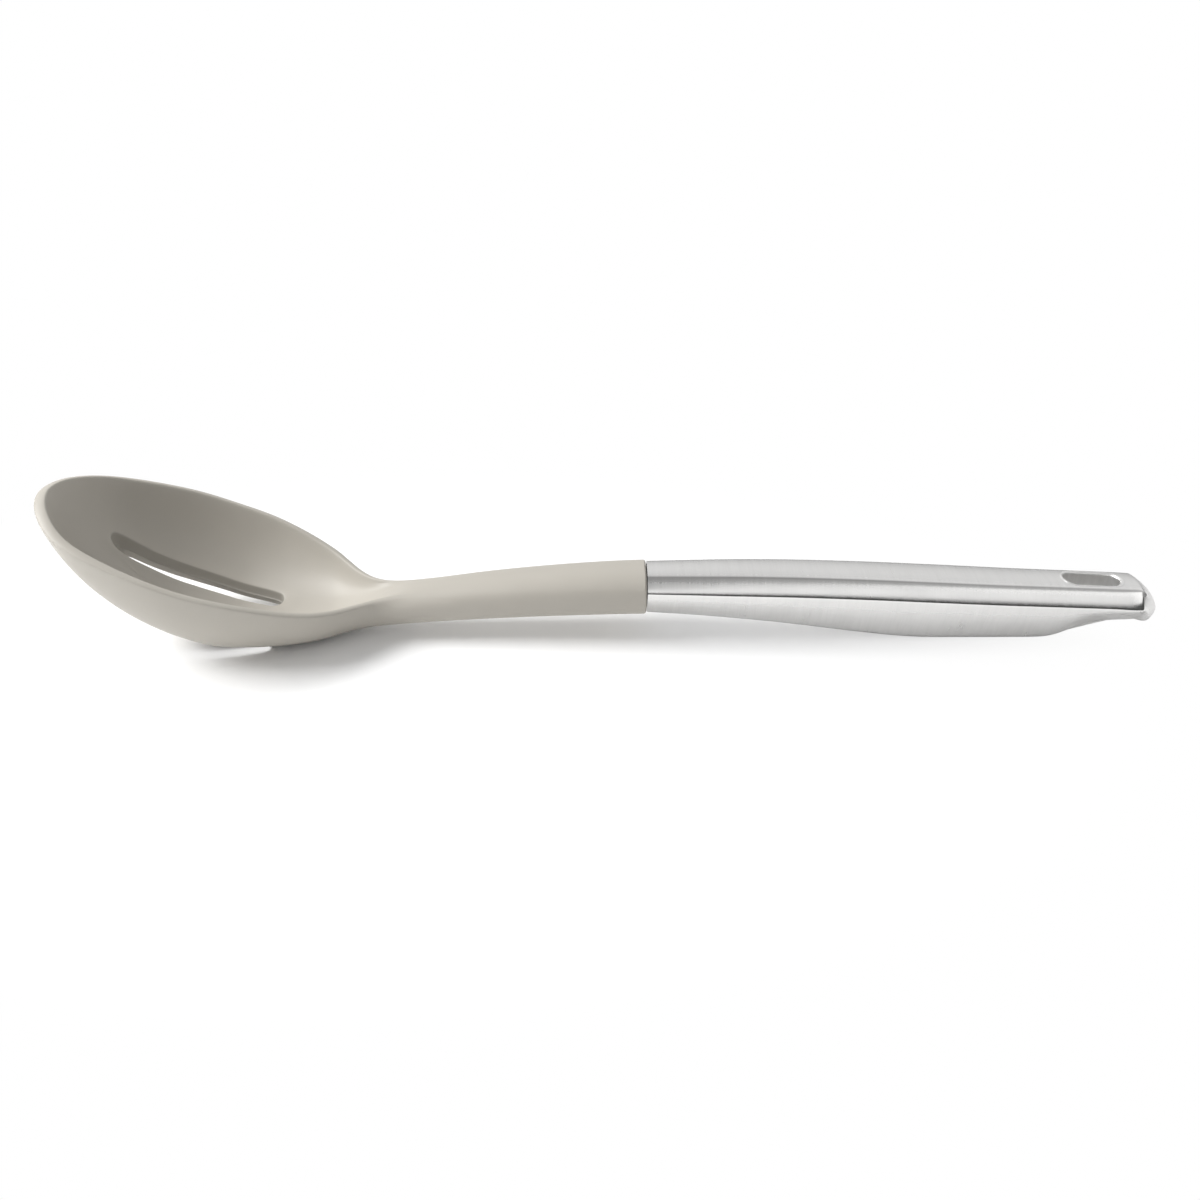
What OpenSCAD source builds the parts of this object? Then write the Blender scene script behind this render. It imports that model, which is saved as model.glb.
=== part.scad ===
/* [Overall] */
// Length from the tip of the bowl to the end of the handle
spoon_length = 346; // [336:1:370]
// Length of the steel handle, from the joint to its end
handle_length = 162.5; // [150:0.5:175]

/* [Bowl] */
// Length of the bowl along the spoon, from its tip to where the rim fades into the neck
bowl_length = 100; // [88:1:108]
// Width of the bowl across the outer edges of its rim
bowl_width = 62.2; // [52:0.1:72]
// Height of the rim above the table at the tip
bowl_rise = 49.6; // [40:0.1:58]
// Thickness of the bowl's wall
bowl_wall = 4.4; // [3:0.1:4.6]
// Thickness of the wall at the rim, beside the bowl's widest place
lip_width = 2.5; // [1.8:0.1:3.2]
// Thickness of the wall at the rim, at the tip
tip_lip_width = 4; // [3:0.1:4.4]
// Height of the rounded lip on top of the rim
lip_height = 0.6; // [0.4:0.1:1.2]

/* [Slots] */
// Width of each slot
slot_width = 6; // [5:0.1:6.6]
// Length of each slot, measured along the spoon
slot_length = 50.3; // [36:0.1:54]
// Distance from the tip of the bowl to the start of the slots
slot_start = 14.2; // [12:0.1:20]
// Distance from the tip to the place where the slots bow out furthest
slot_peak = 42.3; // [38:0.1:48]
// Distance of a slot's middle line from the spoon's middle line at that place
slot_offset = 13.6; // [12.5:0.1:15.5]
// Radius of a slot's middle line, seen from above
slot_radius = 60.4; // [56:0.1:80]

/* [Handle] */
// Width of the flat-looking top face at its widest
top_width = 12.4; // [10:0.1:15]
// Height of the top face's edges above the table at their highest
handle_top = 23.1; // [21:0.1:26]
// Height of the crown of the top face above its edges
top_crown = 0.6; // [0.3:0.1:1]
// How far the side bands reach out beyond the top face
band_reach = 4.2; // [3.4:0.1:5]
// How far the side bands fall from the top face to the lower crease
band_drop = 5.45; // [4.6:0.05:6]
// How far the side bands bulge
band_bulge = 0.3; // [0.1:0.05:0.5]
// Height of the underside above the table at the joint
front_rise = 9.45; // [8:0.05:11]
// Height of the underside above the table at the tail
tail_rise = 6.6; // [5:0.1:7.5]
// Width of the flat that the belly rests on
belly_flat = 7; // [5:0.1:8.4]
// Radius of the edges beside that flat
belly_radius = 2.5; // [1.8:0.1:3]
// Thickness of the steel sheet
sheet = 1; // [0.6:0.05:1.2]
// Width of the seam's face, where the two shells meet
seam_width = 1.3; // [0.8:0.05:1.6]

/* [Handle end] */
// Length over which the top face rolls down and the corners turn in
end_length = 8.4; // [8.4:0.1:10]
// Height of the seam at the very end
end_seam = 9.5; // [9:0.1:10.5]
// How far the ends of the top face's edges lie behind the very end
end_lag = 3; // [2.6:0.1:3.1]
// How far the ends of the top face's edges turn in
end_turn_in = 0.3; // [0.1:0.05:0.35]
// Width of the rounded edge under the end
end_inset = 2.6; // [2.5:0.1:3.4]

/* [Hang hole] */
// Length of the hang hole
hole_length = 17.6; // [12:0.1:20]
// Width of the hang hole
hole_width = 7.3; // [5.5:0.1:7.8]
// Distance from the middle of the hole to the end of the handle
hole_inset = 22.2; // [20:0.1:26]
// Wall of the sleeve that lines the hole
sleeve_wall = 0.8; // [0.5:0.05:1]
// How far the sleeve's top stands out of the top face
sleeve_proud = 0.15; // [0:0.05:0.3]
// Gap around the sleeve in the shells
weld_gap = 0.1; // [0.05:0.05:0.2]

/* [Joint] */
// Gap between the nylon shoulder and the mouth of the handle
joint_gap = 0.3; // [0.2:0.05:0.6]
// How far the nylon stands proud of the steel at the joint
shank_proud = 0.15; // [0:0.05:0.4]
// Size of the rounded edge of the nylon shoulder
shoulder_edge = 0.5; // [0.2:0.1:1]
// Length of the tang inside the handle
tang_length = 38; // [25:1:50]
// Width of the tang
tang_width = 9; // [7:0.1:10]
// Height of the tang
tang_height = 6.6; // [5:0.1:7.5]
// Length of the socket that holds the tang
socket_length = 44; // [36:1:56]
// Clearance between pieces that fit into each other
fit_gap = 0.2; // [0.1:0.05:0.3]

/* [Hidden] */

head_length = spoon_length - handle_length;
// Overrun of every cut past the faces that it goes through
cut_over = sheet;

// Ribs of the bowl, from the tip to the neck. Each runs from the keel to the rim: place of its foot and
// of its head along the bowl and their heights, as shares of the bowl's length and rise, and the half
// width at its head as a share of half the bowl's width.
bowl_rib_shares = [
    [0.240, 0.270, 0.00, 1.000, 0.00],
    [0.250, 0.252, 0.02, 0.985, 0.29],
    [0.270, 0.219, 0.07, 0.935, 0.56],
    [0.305, 0.168, 0.14, 0.870, 0.76],
    [0.350, 0.116, 0.24, 0.795, 0.89],
    [0.420, 0.058, 0.36, 0.705, 0.98],
    [0.510, 0.008, 0.48, 0.610, 1.00],
    [0.610, 0.001, 0.60, 0.525, 0.96],
    [0.710, 0.007, 0.71, 0.440, 0.855],
    [0.800, 0.024, 0.80, 0.367, 0.72],
    [0.880, 0.046, 0.88, 0.320, 0.57],
    [0.950, 0.062, 0.95, 0.305, 0.42],
    [1.020, 0.076, 1.02, 0.315, 0.30],
    [1.100, 0.094, 1.10, 0.335, 0.24],
];
// Angle at which the wall meets the rim, and how late it rises towards it
wall_angle = 75;
rise_power = 1.2;
// Part of the bowl's length over which its section turns into the neck's oval
neck_from_share = 0.80;
neck_to_share = 1.10;

// Neck and shank: place along the head, half width, underside and height, as shares of the head's
// length and of the sizes at the joint.
neck_shares = [
    [0.436, 0.90, 0.22, 0.76],
    [0.500, 0.86, 0.31, 0.82],
    [0.583, 0.82, 0.48, 0.87],
    [0.627, 0.83, 0.56, 0.88],
    [0.714, 0.865, 0.715, 0.92],
    [0.800, 0.91, 0.84, 0.945],
    [0.888, 0.955, 0.925, 0.985],
    [0.975, 0.995, 0.99, 1],
    [1, 1, 1, 1],
];
// Powers of the oval, where 2 is an ellipse: at the neck, at the joint and on the tang
neck_power = 2.2;
joint_power = 2.7;
tang_power = 4;

// Handle, from the joint to the end: place along it, then the share of the size that the line follows
top_line_shares = [
    [0, 0.987], [0.10, 0.996], [0.17, 1], [0.26, 0.994], [0.40, 0.966], [0.55, 0.918],
    [0.70, 0.865], [0.85, 0.82], [1, 0.775],
];
top_width_shares = [
    [0, 0.865], [0.09, 0.92], [0.17, 0.96], [0.30, 0.99], [0.45, 1], [0.60, 0.99],
    [0.75, 0.955], [0.90, 0.935], [1, 0.87],
];
band_drop_shares = [
    [0, 0.80], [0.09, 0.87], [0.17, 0.935], [0.30, 0.965], [0.45, 0.99], [0.60, 1], [1, 0.98],
];
front_underside_shares = [
    [0, 1], [0.09, 0.89], [0.17, 0.76], [0.25, 0.61], [0.32, 0.45], [0.39, 0.28],
    [0.46, 0.125], [0.51, 0.04], [0.555, 0], [1, 0],
];
tail_underside_shares = [
    [0, 0], [0.765, 0], [0.79, 0.05], [0.817, 0.29], [0.841, 0.66], [0.866, 0.89],
    [0.90, 0.98], [0.95, 1], [1, 1],
];

// Cells of the bowl's grid, counted across one half of one skin: the strip along the keel, then up to
// the slot, across the slot and on to the rim
keel_cells = 3;
near_cells = 3;
slot_cells = 4;
far_cells = 6;
lip_cells = 4;
skin_cells = keel_cells + near_cells + slot_cells + far_cells;
ring_cells = 2 * skin_cells + lip_cells;
// Columns of the grid along the head: ribs before the slots, steps along a slot, ribs behind it, steps
// along the shank
tip_ribs = 4;
slot_steps = 15;
throat_ribs = 12;
shank_steps = 10;
// Where the grid's lines run on a rib, as shares of its length from keel to rim
keel_strip_share = 0.12;
tip_near_share = 0.30;
tip_far_share = 0.55;
throat_near_share = 0.35;
throat_far_share = 0.60;
// Half of the angle that a slot's rounded end takes on its last column
slot_end_turn = 60;
// Angles on the neck's oval between which the rim fades out
rim_low_angle = 46;
rim_high_angle = 60;

// Steps along the handle and round its end, and cells across it
handle_steps = 40;
end_steps = 9;
crown_cells = 4;
band_cells = 3;
half_cells = crown_cells + band_cells;
side_cells = 3;
edge_cells = 3;
flat_cells = 2;
lower_cells = side_cells + edge_cells + flat_cells;
// Angle at which the rounded edge of the belly starts
edge_start_angle = -15;
// How far round the cut corner the lower crease runs, and how softly it turns into it
corner_cut_share = 0.85;
corner_power = 1.1;
// Steps along the handle over which the corners begin to turn in before the roll
corner_lead = 1;
// Powers of the roll along the middle line and along the top face's edges, where 1 rolls over an ellipse
// and 2 cuts straight across
crown_roll_power = 1.45;
edge_roll_power = 1.5;
// Part of the end's length over which the rounded edge below draws in to its width at the end
corner_share = 0.5;
// Number of seam points on either side that its direction is taken from
seam_reach = 3;
// Part of the way round the end that the middle line under it follows
end_fan_share = 0.5;

function mix(a, b, t) = a + (b - a) * t;
function ease(t) = let (c = min(max(t, 0), 1)) c * c * (3 - 2 * c);
function unit(v) = norm(v) < 1e-9 ? [0, 0, 1] : v / norm(v);
function mirrored(p) = [p[0], p[1] == 0 ? 0 : -p[1], p[2]];
function on_middle(p) = [p[0], 0, p[2]];

// Smooth curve through a table's rows, at a fractional row number. In front of the first row the curve
// goes on as its own mirror image, in which only the last column changes sign.
function fore_row(table) =
    [for (c = [0:len(table[1]) - 1]) c == len(table[1]) - 1 ? -table[1][c] : table[1][c]];
function row_curve(table, q) =
    let (
        last = len(table) - 1,
        i = min(max(floor(q), 0), last - 1),
        f = q - i,
        a = i == 0 ? fore_row(table) : table[i - 1],
        b = table[i],
        c = table[i + 1],
        d = i + 2 > last ? 2 * table[last] - table[last - 1] : table[i + 2]
    )
    b + f * (c - a) / 2 + f * f * (a - 5 / 2 * b + 2 * c - d / 2) + f * f * f * (3 * b - a - 3 * c + d) / 2;

// Curve through a table's rows over their first column, which never overshoots a row
function rise(t, i, c) = (t[i + 1][c] - t[i][c]) / (t[i + 1][0] - t[i][0]);
function slope_at(t, i, c) =
    i == 0 ? rise(t, 0, c)
    : i == len(t) - 1 ? rise(t, i - 1, c)
    : let (a = rise(t, i - 1, c), b = rise(t, i, c)) a * b <= 0 ? 0 : 2 * a * b / (a + b);
function along(t, x, c = 1) =
    let (
        i = max([for (n = [0:len(t) - 2]) if (n == 0 || t[n][0] <= x) n]),
        h = t[i + 1][0] - t[i][0],
        f = (x - t[i][0]) / h,
        g = f * f,
        k = g * f
    )
    t[i][c] * (2 * k - 3 * g + 1) + t[i + 1][c] * (3 * g - 2 * k)
        + h * (slope_at(t, i, c) * (k - 2 * g + f) + slope_at(t, i + 1, c) * (k - g));

// Oval with the half width, underside and height of a section, at an angle from its widest point
function oval(x, half, low, height, power, angle) =
    [x, half * pow(abs(cos(angle)), 2 / power),
     low + height / 2 + height / 2 * sign(sin(angle)) * pow(abs(sin(angle)), 2 / power)];

// Handle sections, at a distance from the joint
function top_edge(x) = handle_top * along(top_line_shares, x / handle_length);
function top_half(x) = top_width / 2 * along(top_width_shares, x / handle_length);
function crease_height(x) = top_edge(x) - band_drop * along(band_drop_shares, x / handle_length);
function crease_half(x) = top_half(x) + band_reach;
function underside(x) = front_rise * along(front_underside_shares, x / handle_length)
    + tail_rise * along(tail_underside_shares, x / handle_length);

// Bowl skins. A place on the bowl is a rib number and a share of the way from the rib's foot to its head.
last_rib = len(bowl_rib_shares) - 1;
// Steps over which a skin's slope is taken, from rib to rib and along a rib
rib_step_share = 0.1;
skin_step_share = 0.02;
// Least steepness of the skin that the wall's upright thickness is reckoned with
least_up_share = 0.3;
function rib(q) =
    let (r = row_curve(bowl_rib_shares, q))
    [r[0] * bowl_length, r[1] * bowl_rise, r[2] * bowl_length, r[3] * bowl_rise, r[4] * bowl_width / 2];
function keel_slope(q) = let (a = rib(q), b = rib(q + rib_step_share)) (b[1] - a[1]) / (b[0] - a[0]);
function skin_angle(f) = asin(f * sin(wall_angle));
function outer_skin(q, f) =
    let (
        r = rib(q),
        lean = keel_slope(q) * (r[2] - r[0]),
        lift = pow((1 - cos(skin_angle(f))) / (1 - cos(wall_angle)), rise_power)
    )
    [mix(r[0], r[2], f), r[4] * f, r[1] + lean * f + (r[3] - r[1] - lean) * lift];
function skin_up(q, f) = unit(outer_skin(q, f) - outer_skin(q, f - skin_step_share));
function skin_normal(q, f) =
    unit(cross(outer_skin(q + skin_step_share, f) - outer_skin(q, f), skin_up(q, max(f, skin_step_share))));
// Rib from which on the rim has its narrower wall
lip_rib = 6;
function rim_wall(q) = mix(tip_lip_width, lip_width, ease(q / lip_rib));
function inner_skin(q, f) =
    let (
        n = skin_normal(q, f),
        straight_up = [0, 0, 1 / max(n[2], least_up_share)],
        way = mix(straight_up, n, ease((f - tip_far_share) / (1 - tip_far_share)))
    )
    outer_skin(q, f) + mix(bowl_wall, rim_wall(q), ease(f)) * way;

// Slots, seen from above
slot_half = slot_width / 2;
slot_centre = [slot_peak, slot_offset - slot_radius];
function slot_angle(s) = asin((s - slot_peak) / slot_radius);
slot_from = slot_angle(slot_start + slot_half);
slot_to = slot_angle(slot_start + slot_length - slot_half);
function slot_spot(angle, side) = slot_centre + (slot_radius + side * slot_half) * [sin(angle), cos(angle)];
function slot_end_spot(angle, way, side) =
    slot_spot(angle, 0) + slot_half * (cos(slot_end_turn * side) * way * [cos(angle), -sin(angle)]
        + sin(slot_end_turn * side) * [sin(angle), cos(angle)]);
slot_sides = [for (i = [0:slot_cells]) 2 * i / slot_cells - 1];
slot_spots = concat(
    [[for (side = slot_sides) slot_end_spot(slot_from, -1, side)]],
    [for (k = [0:slot_steps])
        [for (side = slot_sides) slot_spot(mix(slot_from, slot_to, k / slot_steps), side)]],
    [[for (side = slot_sides) slot_end_spot(slot_to, 1, side)]]
);
// The rib that passes through a spot seen from above, found by halving
halvings = 22;
function rib_through(spot, low, high, rounds) =
    let (
        middle = (low + high) / 2,
        r = rib(middle),
        turn = (r[2] - r[0]) * spot[1] - r[4] * (spot[0] - r[0])
    )
    rounds == 0 ? middle
    : turn < 0 ? rib_through(spot, middle, high, rounds - 1)
    : rib_through(spot, low, middle, rounds - 1);
function place_of(spot) = let (q = rib_through(spot, 0, last_rib, halvings)) [q, spot[1] / rib(q)[4]];
slot_places = [for (row = slot_spots) [for (spot = row) place_of(spot)]];

// Columns of the bowl's grid, as places from the keel to the rim
function bowl_column(q, slot) =
    let (near = slot[0], far = slot[slot_cells])
    concat(
        [for (i = [0:keel_cells - 1]) [q, keel_strip_share * i / keel_cells]],
        [for (i = [0:near_cells - 1]) mix([q, keel_strip_share], near, i / near_cells)],
        slot,
        [for (i = [1:far_cells])
            let (a = mix(skin_angle(far[1]), wall_angle, i / far_cells))
            [mix(far[0], q, i / far_cells), sin(a) / sin(wall_angle)]]
    );
function plain_column(q, near, far) =
    bowl_column(q, [for (i = [0:slot_cells]) [q, mix(near, far, i / slot_cells)]]);
slot_first = slot_places[0];
slot_last = slot_places[slot_steps + 2];
slot_middle = slot_cells / 2;
bowl_columns = concat(
    [for (k = [0:tip_ribs - 1])
        let (t = k / tip_ribs)
        plain_column(slot_first[slot_middle][0] * t, mix(tip_near_share, slot_first[0][1], t),
            mix(tip_far_share, slot_first[slot_cells][1], t))],
    [for (slot = slot_places) bowl_column(slot[slot_middle][0], slot)],
    [for (k = [1:throat_ribs])
        let (t = k / throat_ribs)
        plain_column(mix(slot_last[slot_middle][0], last_rib, t), mix(slot_last[0][1], throat_near_share, t),
            mix(slot_last[slot_cells][1], throat_far_share, t))]
);
bowl_last = len(bowl_columns) - 1;

// Rings round half of the head's section, from the keel over the lip to the middle of the inside
joint_half = crease_half(0) + shank_proud;
joint_low = front_rise - shank_proud;
joint_height = top_edge(0) + top_crown + shank_proud - joint_low;
function fading_angle(r) =
    r <= skin_cells ? mix(-90, rim_low_angle, r / skin_cells)
    : r <= skin_cells + lip_cells ? mix(rim_low_angle, rim_high_angle, (r - skin_cells) / lip_cells)
    : mix(rim_high_angle, 90, (r - skin_cells - lip_cells) / skin_cells);
function neck_spot(s, r) =
    let (
        t = s / head_length,
        settled = ease((s - neck_to_share * bowl_length) / (head_length - neck_to_share * bowl_length) * 2),
        angle = mix(fading_angle(r), mix(-90, 90, r / ring_cells), settled)
    )
    oval(s, joint_half * along(neck_shares, t, 1), joint_low * along(neck_shares, t, 2),
        joint_height * along(neck_shares, t, 3), mix(neck_power, joint_power, settled), angle);
function lip_spots(place) =
    let (
        outside = outer_skin(place[0], place[1]),
        inside = inner_skin(place[0], place[1]),
        up = skin_up(place[0], place[1])
    )
    [for (i = [1:lip_cells - 1])
        let (a = 180 * i / lip_cells)
        (outside + inside) / 2 + (outside - inside) / 2 * cos(a) + lip_height * sin(a) * up];
function bowl_ring(column) =
    concat(
        [for (place = column) outer_skin(place[0], place[1])],
        lip_spots(column[skin_cells]),
        [for (i = [skin_cells:-1:0]) inner_skin(column[i][0], column[i][1])]
    );
function neck_share(s) = ease((s / bowl_length - neck_from_share) / (neck_to_share - neck_from_share));
function head_ring(column) =
    let (ring = bowl_ring(column), s = ring[0][0], t = neck_share(s))
    [for (r = [0:ring_cells])
        let (p = t == 0 ? ring[r] : mix(ring[r], neck_spot(s, r), t))
        r == 0 || r == ring_cells || column[0][0] == 0 ? on_middle(p) : p];

// Shoulder and tang: distance along the head, and how far the section is drawn in
tang_middle = joint_low + joint_height / 2;
tang_start = head_length - joint_gap;
tang_end = head_length + tang_length;
function shank_ring(s) =
    [for (r = [0:ring_cells]) let (p = neck_spot(s, r)) r == 0 || r == ring_cells ? on_middle(p) : p];
function drawn_in(ring, s, inset) =
    let (m = [s, 0, tang_middle])
    [for (p = ring) let (v = [0, p[1], p[2] - tang_middle]) m + v * (1 - inset / max(norm(v), inset))];
function tang_ring(s, inset) =
    [for (r = [0:ring_cells])
        let (p = oval(s, tang_width / 2 - inset, tang_middle - tang_height / 2 + inset,
            tang_height - 2 * inset, tang_power, mix(-90, 90, r / ring_cells)))
        r == 0 || r == ring_cells ? on_middle(p) : p];
shank_from = neck_to_share * bowl_length;
shank_to = tang_start - 2 * shoulder_edge;
head_rings = concat(
    [for (column = bowl_columns) head_ring(column)],
    [for (k = [1:shank_steps]) shank_ring(mix(shank_from, shank_to, k / shank_steps))],
    [shank_ring(tang_start - shoulder_edge)],
    [drawn_in(shank_ring(tang_start), tang_start, shoulder_edge)],
    [tang_ring(tang_start, 0)],
    [tang_ring(tang_end - shoulder_edge, 0)],
    [tang_ring(tang_end, shoulder_edge)]
);
head_last = len(head_rings) - 1;

// Ribs in front of the keel's strip start on its front edge, which is the column of rib number keel_cells
function fold(k, r) =
    k != keel_cells ? [k, r]
    : r < keel_cells ? [r, keel_cells]
    : r > ring_cells - keel_cells ? [ring_cells - r, ring_cells - keel_cells]
    : [k, r];
slot_low_row = keel_cells + near_cells;
slot_high_row = slot_low_row + slot_cells;
slot_column_from = tip_ribs;
slot_column_to = tip_ribs + slot_steps + 2;
function in_slot(k, r) =
    let (c = min(r, ring_cells - 1 - r))
    k >= slot_column_from && k < slot_column_to && c >= slot_low_row && c < slot_high_row;
function before_strip(k, r) = k < keel_cells && (r < keel_cells || r >= ring_cells - keel_cells);

function head_point(side, k, r) = side * (head_last + 1) * (ring_cells + 1) + k * (ring_cells + 1) + r;
head_points = [for (side = [0, 1]) for (k = [0:head_last]) for (r = [0:ring_cells])
    let (at = fold(k, r), p = head_rings[at[0]][at[1]])
    side == 0 ? p : mirrored(p)];
function turned(side, face) = side == 0 ? face : [for (i = [len(face) - 1:-1:0]) face[i]];
// Wall of a slot under one edge of its outline, from one grid place to the next
function slot_wall(side, a, b) =
    turned(side, [
        head_point(side, a[0], a[1]),
        head_point(side, b[0], b[1]),
        head_point(side, b[0], ring_cells - b[1]),
        head_point(side, a[0], ring_cells - a[1]),
    ]);
head_faces = concat(
    [for (side = [0, 1]) for (k = [0:head_last - 1]) for (r = [0:ring_cells - 1])
        if (!before_strip(k, r) && !in_slot(k, r))
            turned(side, [head_point(side, k, r), head_point(side, k + 1, r),
                head_point(side, k + 1, r + 1), head_point(side, k, r + 1)])],
    [for (side = [0, 1]) for (k = [slot_column_from:slot_column_to - 1])
        for (wall = [[[k, slot_low_row], [k + 1, slot_low_row]], [[k + 1, slot_high_row], [k, slot_high_row]]])
            slot_wall(side, wall[0], wall[1])],
    [for (side = [0, 1]) for (r = [slot_low_row:slot_high_row - 1])
        for (wall = [
            [[slot_column_from, r + 1], [slot_column_from, r]],
            [[slot_column_to, r], [slot_column_to, r + 1]],
        ])
            slot_wall(side, wall[0], wall[1])],
    [[
        for (r = [1:ring_cells - 1]) head_point(1, head_last, r),
        for (r = [ring_cells:-1:0]) head_point(0, head_last, r),
    ]]
);

// Upper shell, on one side: place of a line of its outside, from the joint over the roll of the end. The
// share goes from 0 at the start of the roll to 1 at the seam.
roll_start = handle_length - end_length;
function end_share(k) = max(k - handle_steps, 0) / end_steps;
function run(k) = roll_start * min(k, handle_steps) / handle_steps;
function roll_out(k, power) = pow(sin(90 * end_share(k)), power);
function roll_down(k, power) = pow(cos(90 * end_share(k)), power);
function crown_line(k) =
    [run(k) + end_length * roll_out(k, crown_roll_power), 0,
     mix(end_seam, top_edge(run(k)) + top_crown, roll_down(k, crown_roll_power))];
end_edge_seam = end_seam + top_crown;
function edge_line(k) =
    let (out = roll_out(k, edge_roll_power))
    [run(k) + (end_length - end_lag) * out, top_half(run(k)) - end_turn_in * out,
     mix(end_edge_seam, top_edge(run(k)), roll_down(k, edge_roll_power))];
function crease_line(k) =
    let (
        t = corner_cut_share * end_share(k),
        corner = corner_cut_share * max(k - handle_steps + corner_lead, 0) / (end_steps + corner_lead),
        x = run(k)
    )
    [x + (end_length - end_lag) * t, mix(crease_half(x), top_half(x), pow(corner, corner_power)),
     mix(crease_height(x), end_edge_seam, ease(end_share(k)))];
band_facing = unit([0, band_drop, band_reach]);
function upper_point(k, r) =
    let (
        side = sign(r),
        n = abs(r),
        t = n / crown_cells,
        b = (n - crown_cells) / band_cells,
        a = edge_line(k),
        p = n <= crown_cells
            ? [mix(crown_line(k)[0], a[0], t * t), a[1] * t, mix(crown_line(k)[2], a[2], t * t)]
            : mix(a, crease_line(k), b) + 4 * b * (1 - b) * (1 - end_share(k)) * band_bulge * band_facing
    )
    [p[0], side * p[1], p[2]];
upper_last = handle_steps + end_steps;
upper_outside = [for (k = [0:upper_last]) [for (r = [-half_cells:half_cells]) upper_point(k, r)]];

// Seam on one side, from the joint round the end to the middle line, outside and inside
seam_last = upper_last + half_cells;
function seam_point(c) = c <= upper_last ? upper_point(c, half_cells) : upper_point(upper_last, seam_last - c);
function seam_way(c) =
    c == 0 ? [1, 0, 0]
    : c == seam_last ? [0, -1, 0]
    : let (n = min(seam_reach, c, seam_last - c), v = seam_point(c + n) - seam_point(c - n))
        unit([v[0], v[1], 0]);
function seam_inside(c) = seam_point(c) + seam_width * [seam_way(c)[1], -seam_way(c)[0], 0];
seam_outer = [for (c = [0:seam_last]) seam_point(c)];
seam_inner = [for (c = [0:seam_last]) c == seam_last ? on_middle(seam_inside(c)) : seam_inside(c)];

// Inside of a sheet, from the grid of its outside, where the inside lies to the given side of the grid
function grid_way(grid, k, r) =
    let (
        a = grid[max(k - 1, 0)][r],
        b = grid[min(k + 1, len(grid) - 1)][r],
        c = grid[k][max(r - 1, 0)],
        d = grid[k][min(r + 1, len(grid[k]) - 1)],
        n = cross(b - a, d - c)
    )
    k == 0 ? unit([0, n[1], n[2]]) : unit(n);
upper_inside = [for (k = [0:upper_last]) [for (r = [0:2 * half_cells])
    let (side = r < half_cells ? -1 : 1, n = abs(r - half_cells))
    n == half_cells ? [seam_inner[k][0], side * seam_inner[k][1], seam_inner[k][2]]
    : k == upper_last
        ? [seam_inner[seam_last - n][0], side * seam_inner[seam_last - n][1], seam_inner[seam_last - n][2]]
    : let (p = upper_outside[k][r] - sheet * grid_way(upper_outside, k, r)) n == 0 ? on_middle(p) : p]];

// Two triangles across the seam from one of its points to the next, outside and inside. Both shells cut
// it the same way, so that their faces meet.
function seam_strip(side, a, b, inside_a, inside_b) =
    [turned(side, [a, b, inside_b]), turned(side, [a, inside_b, inside_a])];
// Closed sheet between two grids of the same size
function sheet_faces(rows, columns) =
    let (
        layer = rows * columns,
        end = (rows - 1) * columns,
        half = (columns - 1) / 2,
        ahead = [
            for (k = [0:rows - 2]) [k * columns, (k + 1) * columns],
            for (r = [0:half - 1]) [end + r, end + r + 1],
        ],
        back = [
            for (k = [0:rows - 2]) [(k + 1) * columns - 1, (k + 2) * columns - 1],
            for (r = [0:half - 1]) [end + columns - 1 - r, end + columns - 2 - r],
        ]
    )
    concat(
        [for (k = [0:rows - 2]) for (r = [0:columns - 2])
            let (a = k * columns + r) [a, a + 1, a + columns + 1, a + columns]],
        [for (k = [0:rows - 2]) for (r = [0:columns - 2])
            let (a = layer + k * columns + r) [a, a + columns, a + columns + 1, a + 1]],
        [for (s = ahead) for (face = seam_strip(0, s[0], s[1], s[0] + layer, s[1] + layer)) face],
        [for (s = back) for (face = seam_strip(1, s[0], s[1], s[0] + layer, s[1] + layer)) face],
        [for (r = [0:columns - 2]) [r + 1, r, r + layer, r + 1 + layer]]
    );
function joined(lists) = [for (l = lists) for (p = l) p];

// Lower shell, on one side: from the seam down the side, round the edge and over the flat
function under_end(c) = min(max((seam_outer[c][0] - roll_start) / end_length, 0), 1);
function middle_under(c) =
    let (x = seam_outer[c][0])
    [x - (1 - end_fan_share) * max(x - roll_start, 0), 0, underside(min(x, handle_length))];
function lower_point(c, r) =
    let (
        s = seam_outer[c],
        d = middle_under(c),
        way = unit([d[0] - s[0], d[1] - s[1], 0]),
        straight_inset = crease_half(min(s[0], roll_start)) - belly_flat / 2,
        inset = mix(straight_inset, end_inset, ease(under_end(c) / corner_share)),
        low = d[2],
        angle = mix(edge_start_angle, -90, (r - side_cells) / edge_cells),
        turned_in = function (a) [
            s[0] + way[0] * (inset - belly_radius * cos(a)),
            s[1] + way[1] * (inset - belly_radius * cos(a)),
            low + belly_radius * (1 + sin(a))
        ],
        b = r / side_cells,
        rest = (r - side_cells - edge_cells) / flat_cells
    )
    r == 0 ? s
    : r < side_cells
        ? mix(s, turned_in(edge_start_angle), b) - 4 * b * (1 - b) * (1 - under_end(c)) * band_bulge * way
    : r <= side_cells + edge_cells ? turned_in(angle)
    : mix(turned_in(-90), d, rest);
lower_outside = [for (c = [0:seam_last]) [for (r = [0:lower_cells])
    let (p = lower_point(c, r)) r == lower_cells || c == seam_last ? on_middle(p) : p]];
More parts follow.
